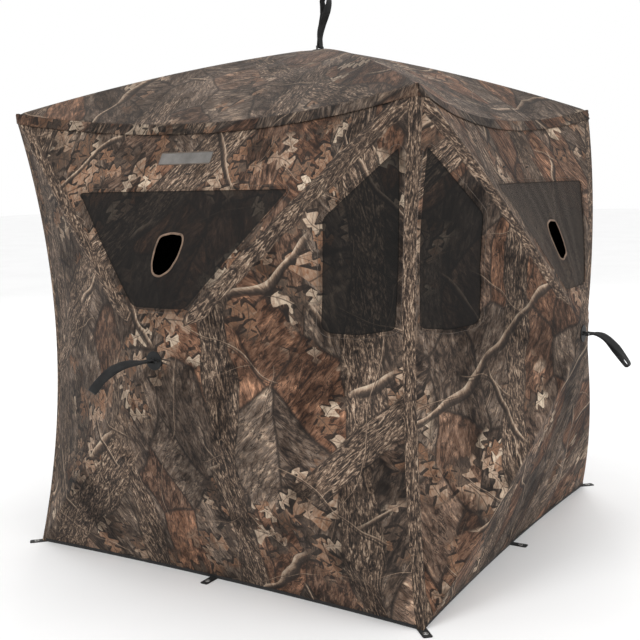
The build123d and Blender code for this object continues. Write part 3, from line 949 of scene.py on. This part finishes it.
for name in WALLS:
    face = FACES[name]
    screen(f"{name}_window", face, WINDOW, [port_outline()], f"{name}_window_mesh")
    ring = band(f"{name}_port_binding", face, port_outline(0.002), 0.006, -0.0016, 0.0020, [BINDING])
for name, side in CORNER_WINDOWS.items():
    screen(f"{name}_corner", FACES[name], corner_window(side), [], f"{name}_corner_mesh")


# ---- eaves, corner seams and hem
FLAP_DROP, FLAP_ROWS = 0.027, 7
FLAP_LIFT, FLAP_FLARE, FLUTTER = 0.0028, 0.0014, 0.0012
SEAM_RIDGE = 0.0045
SEAM_LAYERS = ((0.018, 0.0002), (0.014, 0.0018), (0.006, 0.0026))  # inset, lift
HEM_FOLD = ((0.0135, -0.0022), (0.001, -0.0030), (0.0, 0.0), (0.001, 0.0016), (0.007, 0.0020),
            (0.0135, 0.0012))  # rise, distance out


def eave(face):
    """The sewn flap of the roof's edge, hanging a little over the top of a wall."""
    x, y = edge_line(face, "top", 97)
    rows, prints = [], []
    seam = face.world(x, y, face.height(x, y))
    out, up, start = np.array(face.out), np.array(face.up), PRINT_OFFSET[face.name][0]
    for k in range(len(x)):
        flutter = FLUTTER * noise.noise(Vector((x[k] * 9, start, 0)))
        row = [seam[k] - out * 0.010 + up * 0.0026, seam[k] + out * 0.0012 + up * 0.0030]
        for d in np.linspace(0.002, FLAP_DROP, FLAP_ROWS):
            n = float(face.height(x[k], y[k] - d)) + FLAP_LIFT + (FLAP_FLARE + flutter) * d / FLAP_DROP
            row.append(face.world(x[k], y[k] - d, n))
        rows.append(row)
        prints += [(x[k] + 21.3 + start, j * FLAP_DROP / FLAP_ROWS) for j in range(len(row))]
    # the flap's cloth is the darkened print: painted shade along the roof's edge
    obj = strip(f"{face.name}_eave_flap", rows, [CAMO_BAND_PAINTED_SHADE, LINING], prints=np.array(prints))
    thicken(obj, 0.0010, 0, lined=True)
    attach(obj, "shell")


def corner_seam(first, second):
    """A folded seam that stands proud where two walls meet."""
    t = np.linspace(-1, 0.985, 99)

    def edge(face, u, lift=0.0):
        x, y = face.plane_point(np.full(len(t), u), t)
        return face.world(x, y, face.height(x, y) + lift)

    rows = [edge(first, 1 - inset / HALF, lift) for inset, lift in SEAM_LAYERS]
    rows.append(edge(first, 1.0) + np.array((first.out + second.out).normalized()) * SEAM_RIDGE)
    rows += [edge(second, inset / HALF - 1, lift) for inset, lift in SEAM_LAYERS[::-1]]
    obj = strip(f"{first.name}_{second.name}_seam", np.stack(rows, axis=1), [CAMO_SEAM])
    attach(obj, "shell")


def hem_binding():
    """Webbing folded round the ground edge of the walls, all the way round."""
    rows = []
    for name in WALLS:
        face = FACES[name]
        x, y = edge_line(face, "low")
        for a, b in zip(x[:-1], y[:-1]):
            rows.append([face.world(a, b + rise, float(face.height(a, b + rise, False)) + out)
                         for rise, out in HEM_FOLD])
    obj = strip("ground_hem_binding", rows, [WEBBING], closed=True)
    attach(obj, "shell")
    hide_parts("ground_hem")


for i, name in enumerate(WALLS):
    eave(FACES[name])
    corner_seam(FACES[name], FACES[WALLS[(i + 1) % 4]])
hem_binding()

# ---- stake tabs
TAB_W, TAB_T, TAB_HOLE_R = 0.026, 0.0020, 0.0050
TAB_START, TAB_GRID = -0.014, 0.003  # where a tab starts under the hem, and its mesh spacing
CORNER_TAB, SIDE_TAB = (0.044, 0.022), (0.054, 0.032)  # length, and how far out the hole is
EYELET_AROUND, EYELET_SIDES = 28, 8


def stake_tab(name, start, turn, size):
    """A webbing tab on the ground with a steel eyelet; start is its distance from the middle."""
    half = TAB_W / 2
    length, hole_out = size
    outline = rounded([(TAB_START, -half), (length, -half), (length, half), (TAB_START, half)], 0.006, 4)
    outline = evenly(outline, TAB_GRID)
    hole = [(hole_out + TAB_HOLE_R * cos(a), TAB_HOLE_R * sin(a)) for a in np.linspace(0, 2 * pi, 25)[:-1]]
    gx, gy = np.meshgrid(np.arange(TAB_START + 0.001, length, TAB_GRID),
                         np.arange(-half + TAB_GRID / 2, half, TAB_GRID))
    grid = np.column_stack([gx.ravel(), gy.ravel()])
    flat, faces = triangles(outline, [hole], grid[clear(grid, outline, [hole], TAB_GRID / 2)])
    c, s = cos(turn), sin(turn)

    def place(points):
        x, y, z = points[:, 0] + start, points[:, 1], points[:, 2]
        return np.column_stack([x * c - y * s, x * s + y * c, z])

    points = np.column_stack([flat, np.full(len(flat), 0.0012)])
    obj = add_object(f"stake_tab_{name}", place(points), faces, {"strip": flat}, [WEBBING])
    thicken(obj, TAB_T, 0)
    rings = []
    for a in np.linspace(0, 2 * pi, EYELET_AROUND + 1)[:-1]:
        for b in np.linspace(0, 2 * pi, EYELET_SIDES + 1)[:-1]:
            r = TAB_HOLE_R + 0.0014 + 0.0018 * cos(b)
            rings.append((hole_out + r * cos(a), r * sin(a), 0.0022 + 0.0014 * sin(b)))
    eyelet = add_object(f"stake_eyelet_{name}", place(np.array(rings)),
                        grid_faces(EYELET_AROUND, EYELET_SIDES, True, True), {}, [STEEL])
    for piece, slot in ((obj, "black_webbing"), (eyelet, "steel")):
        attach(piece, "shell")
    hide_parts("stake_tabs")


CORNER_REACH = hypot(HALF, HALF)
for turn, name in enumerate(("back_right", "back_left", "front_left", "front_right")):
    stake_tab(name, CORNER_REACH, radians(45 + 90 * turn), CORNER_TAB)
for turn, name in enumerate(("right", "back", "left", "front")):
    stake_tab(name, HALF - HEM_PULL, radians(90 * turn), SIDE_TAB)

# ---- rolled window covers, inside above the windows
ROLL_Y, ROLL_HALF, ROLL_UNDER = 0.490, 0.310, 0.022  # height, half length, distance under the cloth
ROLL_TURNS, ROLL_IN, ROLL_OUT = 6, 0.0035, 0.0130
TIES, TIE_R, TIE_HALF, TIE_GAP = (-0.22, 0, 0.22), 0.0148, 0.008, 0.35


def roll(face):
    """The cover of a window, wound into a loose spiral under the cloth and held by three ties."""
    x = np.linspace(-ROLL_HALF, ROLL_HALF, 63)
    centre_n = face.height(x, np.full(len(x), ROLL_Y), False) - ROLL_UNDER
    turns = np.linspace(0, 2 * pi * ROLL_TURNS, 20 * ROLL_TURNS + 1)
    points, prints = [], []
    for at, n in zip(x, centre_n):
        pinch = 1 - 0.12 * sum(np.exp(-((at - tie) / 0.02) ** 2) for tie in TIES)
        for a in turns:
            r = ROLL_IN + (ROLL_OUT - ROLL_IN) * a / turns[-1] * pinch
            r += 0.0006 * noise.noise(Vector((at * 30, cos(a) * 1.5, sin(a) * 1.5)))
            points.append(face.world(at, ROLL_Y + r * sin(a), n + r * cos(a)))
            prints.append((at + 31.7 + PRINT_OFFSET[face.name][0], a * (ROLL_IN + ROLL_OUT) / 2))
    obj = add_object(f"{face.name}_window_cover_roll", points, grid_faces(len(x), len(turns)),
                     {"cloth": np.array(prints)}, [LINING])
    follow(obj, face, x, np.full(len(x), ROLL_Y), len(turns))
    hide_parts("window_cover_rolls")
    rows, faces = [], []
    for tie in TIES:
        n = float(face.height(tie, ROLL_Y, False)) - ROLL_UNDER
        loop = [(ROLL_Y + TIE_R * sin(a), n + TIE_R * cos(a))
                for a in np.linspace(TIE_GAP, 2 * pi - TIE_GAP, 24)]
        loop = [(ROLL_Y + 0.012, n + 0.0212)] + loop + [(ROLL_Y - 0.012, n + 0.0212)]
        faces += grid_faces(len(loop), 3, start=len(rows) * 3)
        rows += [[face.world(tie + s * TIE_HALF, y, out) for s in (-1, 0, 1)] for y, out in loop]
    flat = np.array([(i * 0.004, j * 0.008) for i in range(len(rows)) for j in range(3)])
    points = np.array(rows).reshape(-1, 3)
    ties = add_object(f"{face.name}_roll_ties", points, faces, {"strip": flat}, [WEBBING])
    thicken(ties, 0.0012, 0)
    follow(ties, face, np.array(TIES), np.full(len(TIES), ROLL_Y), 3 * len(loop))


for name in WALLS:
    roll(FACES[name])

# ---- door, zip and slider
back = FACES["back"]
ZIP_ENDS_X = 0.585  # the zip stops short of the sewn side
DOOR_INSET, ZIP_INSET = 0.0105, 0.007  # edge of the door's cloth and line of the zip, within DOOR_LINE


def hang(obj):
    """Bake the transform of cloth on the door into its mesh."""
    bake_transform(obj)


door, _ = panel("door_cloth", back, grown(DOOR_LINE, -DOOR_INSET), [], 0, [CAMO_PLAIN, LINING])
thicken(door, CLOTH_T, lined=True)
hang(door)
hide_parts("door")
stitches("door_stitches", back, grown(DOOR_LINE, -0.018), on_door=True)
stitches("door_opening_stitches", back, grown(DOOR_LINE, 0.004))


def zip_line(pitch):
    """The line of the zip along the three free sides of the door."""
    line = [(x, y) for x, y in evenly(grown(DOOR_LINE, -ZIP_INSET), pitch) if x < ZIP_ENDS_X]
    p = np.asarray(line)
    start = int(np.argmax(np.linalg.norm(np.roll(p, -1, axis=0) - p, axis=1))) + 1
    return np.roll(p, -start, axis=0)


tape = band("door_zip_tape", back, zip_line(0.004), 0.024, -0.0026, 0.0, [BLACK_TAPE], closed=False,
            body="door_facet")
thicken(tape, 0.0008, 0)
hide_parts("door_zip_track")


TOOTH_HALF, TOOTH_WIDE = 0.0010, 0.0022  # half length along the zip, half width
TOOTH_UNDER, TOOTH_DEEP, TOOTH_OFF = 0.0022, 0.0024, 0.0010  # start under the cloth, depth, offset of a row
line = zip_line(0.0028)
along, side = directions(np.gradient(line, axis=0))
swing = np.where(np.arange(len(line)) % 2, TOOTH_OFF, -TOOTH_OFF)
corners = []
for c in (0, 1):
    for a, b in CORNERS:
        flat = line + along * (a * TOOTH_HALF) + side * (b * TOOTH_WIDE + swing)[:, None]
        n = back.height(flat[:, 0], flat[:, 1]) - TOOTH_UNDER + c * TOOTH_DEEP
        corners.append(back.world(flat[:, 0], flat[:, 1], n))
teeth = blocks("door_zip_teeth", corners, NYLON)
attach(teeth, "door_facet")


def solid(name, outline, low, high):
    """A small flat piece of the slider with eased edges, from low to high off the back face."""
    count, chamfer = len(outline), 0.0006
    middle = np.mean(outline, axis=0)
    rows = []
    for n, inset in ((low, chamfer), (low + chamfer, 0), (high - chamfer, 0), (high, chamfer)):
        for q in outline:
            d = np.asarray(q) - middle
            q = np.asarray(q) - d / max(np.linalg.norm(d), 1e-9) * inset
            rows.append(back.world(SLIDER_AT[0] + q[0], SLIDER_AT[1] + q[1], n))
    faces = [tuple(range(count))[::-1], tuple(range(3 * count, 4 * count))]
    faces += [(k + i, k + (i + 1) % count, k + count + (i + 1) % count, k + count + i)
              for k in (0, count, 2 * count) for i in range(count)]
    obj = add_object(name, rows, faces, {}, [ZIP_METAL], smooth=False)
    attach(obj, "zip_slider")
    return obj


slider_low, slider_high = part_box("zip_slider")
SLIDER_N = slider_low[1] - HALF
SLIDER_AT = (-(slider_low[0] + slider_high[0]) / 2, (slider_low[2] + slider_high[2]) / 2 - HALF)
slider_body = solid("zip_slider_body",
                    [(-0.0040, -0.012), (0.0040, -0.012), (0.0062, 0.002), (0.0066, 0.010), (0.0030, 0.0125),
                     (0, 0.0095), (-0.0030, 0.0125), (-0.0066, 0.010), (-0.0062, 0.002)],
                    SLIDER_N, SLIDER_N + 0.0034)
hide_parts("zip_slider")
solid("zip_slider_bridge", rounded([(x * 0.0016, y * 0.008) for x, y in CORNERS], 0.001, 3),
      SLIDER_N + 0.0034, SLIDER_N + 0.0060)
solid("zip_pull", rounded([(-0.0034, -0.046), (0.0034, -0.046), (0.0042, -0.014), (0.0026, -0.006),
                           (-0.0026, -0.006), (-0.0042, -0.014)], 0.002, 4),
      SLIDER_N + 0.0042, SLIDER_N + 0.0058)

# ---- blank patch
PATCH_AT, PATCH_SIZE = (-0.028, 0.545), (0.184, 0.034)
patch_line = rounded([(PATCH_AT[0] + x * PATCH_SIZE[0] / 2, PATCH_AT[1] + y * PATCH_SIZE[1] / 2)
                      for x, y in CORNERS], 0.005)
patch, flat = panel("blank_patch_cloth", FACES["front"], patch_line, [], 0.0012, [PATCH], step=0.006)
follow(patch, FACES["front"], *flat.T)
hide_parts("blank_patch")
ring = band("blank_patch_border", FACES["front"], grown(patch_line, -0.0008), 0.0034, 0.0010, 0.0012,
            [THREAD])


# ---- pull straps
STRAP_W, STRAP_T = 0.024, 0.0022
BAR_BELOW, EYE_R, LAYER_GAP = 0.0025, 0.0046, 0.0012  # the bar under its staple's top, eye, half gap
# the middle line of each loop: out from the bar, up (+X on the roof), and sideways;
# then its twist past the seam and at the end, and half the opening near its end
HANGING = ([(0, 0, 0), (0.030, 0.001, 0.001), (0.056, -0.010, 0.002), (0.082, -0.036, 0.003),
            (0.104, -0.064, 0.004), (0.122, -0.088, 0.004)], 32, 4, 0.006)
LEANING = ([(0, 0, 0), (0.034, 0.002, -0.012), (0.068, 0.001, -0.028), (0.100, -0.010, -0.044),
            (0.128, -0.032, -0.060), (0.150, -0.060, -0.074)], -30, -60, 0.003)
STANDING = ([(0, 0, 0), (0.040, 0.002, 0), (0.072, 0.012, 0.001), (0.104, 0.023, 0.002),
             (0.132, 0.028, 0.003), (0.154, 0.027, 0.003)], -40, -10, 0.014)


def smooth_line(points, steps=6):
    """A smooth line through the points."""
    p = np.asarray(points, float)
    result = []
    for i in range(len(p) - 1):
        a, b, c, d = (p[min(max(i + k, 0), len(p) - 1)] for k in (-1, 0, 1, 2))
        for t in np.arange(steps) / steps:
            result.append(0.5 * (2 * b + (c - a) * t + (2 * a - 5 * b + 4 * c - d) * t ** 2
                                 + (3 * b - a - 3 * c + d) * t ** 3))
    return np.array(result + [p[-1]])


def pull_strap(face, loop):
    """Webbing round the staple bar: two layers sewn together, then an open loop."""
    low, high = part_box(f"{face.name}_hub_fasteners")
    axis = max(range(3), key=lambda i: abs(face.out[i]))
    bar_n = max(abs(low[axis]), abs(high[axis])) - (HALF if face.is_wall else 2 * HALF) - BAR_BELOW
    up = np.array(face.up if face.is_wall else face.across)
    side = np.array(face.across if face.is_wall else -face.up)
    out = np.array(face.out)
    start = np.array(face.origin) + out * bar_n
    spine, near_twist, end_twist, opening = loop
    spine = smooth_line(spine)
    run = np.linspace(0, 1, len(spine))
    along = np.gradient(spine, axis=0)
    along /= np.linalg.norm(along, axis=1)[:, None]
    over = np.column_stack([-along[:, 1], along[:, 0], np.zeros(len(along))])
    over /= np.linalg.norm(over, axis=1)[:, None]
    beside = np.cross(along, over)
    turn = np.interp(run, [0.10, 0.35, 0.60, 0.90], [0, near_twist, near_twist, end_twist])
    turn = np.radians(turn)[:, None]
    width = beside * np.cos(turn) + over * np.sin(turn)
    apart = over * np.cos(turn) - beside * np.sin(turn)
    gap = LAYER_GAP + opening * np.clip((run - 0.38) / 0.25, 0, 1) * np.clip((1.04 - run) / 0.12, 0, 1) ** 0.5
    legs = [spine + apart * (way * gap[:, None]) for way in (-1, 1)]
    kept = run > 0.12
    eye = EYE_R * np.array([(-cos(a), sin(a), 0) for a in np.linspace(radians(115), radians(-115), 9)])
    path = np.concatenate([eye, legs[0][kept], [spine[-1] + along[-1] * 0.003], legs[1][kept][::-1]])
    width = np.concatenate([np.tile([0, 0, 1.0], (len(eye), 1)), width[kept], width[-1:], width[kept][::-1]])
    axes = np.array([out, up, side])
    points, across = start + path @ axes, width @ axes
    s = np.linspace(-1, 1, 5)
    rows = points[:, None, :] + across[:, None, :] * (s * STRAP_W / 2)[None, :, None]
    obj = strip(f"{face.name}_strap_loop", rows, [WEBBING], closed=True)
    thicken(obj, STRAP_T, 0)
    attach(obj, f"{face.name}_pull_strap")
    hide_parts(f"{face.name}_pull_strap")


for name, face in FACES.items():
    pull_strap(face, {"front": LEANING, "roof": STANDING}.get(name, HANGING))

# ---- materials of the CAD parts
CAD_MATERIALS = {"_hub_core": NYLON, "_hub_washer": NYLON, "_hub_fasteners": ZIP_METAL, "_pole_": ROD,
                 "corner_sockets": NYLON}
for node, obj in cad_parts.items():
    for part, item in CAD_MATERIALS.items():
        if part in node:
            for slot in obj.material_slots:
                slot.material = item
